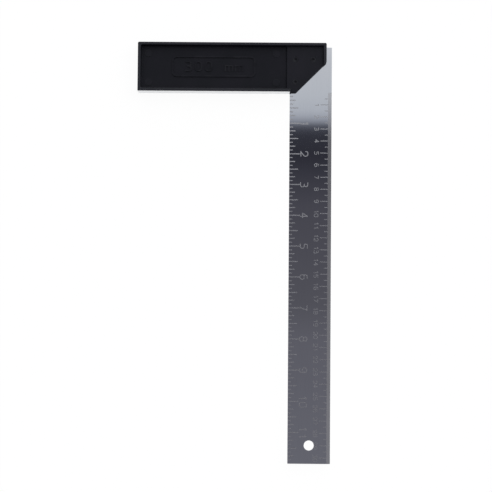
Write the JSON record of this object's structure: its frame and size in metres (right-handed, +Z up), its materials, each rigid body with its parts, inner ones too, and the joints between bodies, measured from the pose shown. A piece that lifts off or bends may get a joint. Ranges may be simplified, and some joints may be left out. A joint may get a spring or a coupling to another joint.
{
  "type": "try square",
  "caption": "Try square with a black die-cast handle, a 45 degree mitre and an etched inch and centimetre steel blade with a hanging hole.",
  "frame": {"origin": "inner corner of the square, where the handle's machined inner face meets the blade's inner edge, on the plane that the handle lies on", "axes": "+X along the handle towards the blade's outer edge, the blade reaches towards -Y, +Z up through the handle's thickness"},
  "size_m": [0.1604, 0.3456, 0.0125],
  "materials": {
    "handle_paint": "satin black paint over die-cast metal, with a bare machined inner face",
    "blade_steel": "polished, with matt etched scales",
    "rivet_paint": "steel painted over with the handle"
  },
  "bodies": {
    "root": {"handle": "handle_paint", "blade": "blade_steel", "rivet_1": "rivet_paint", "rivet_2": "rivet_paint", "rivet_3": "rivet_paint"}
  },
  "joints": []
}
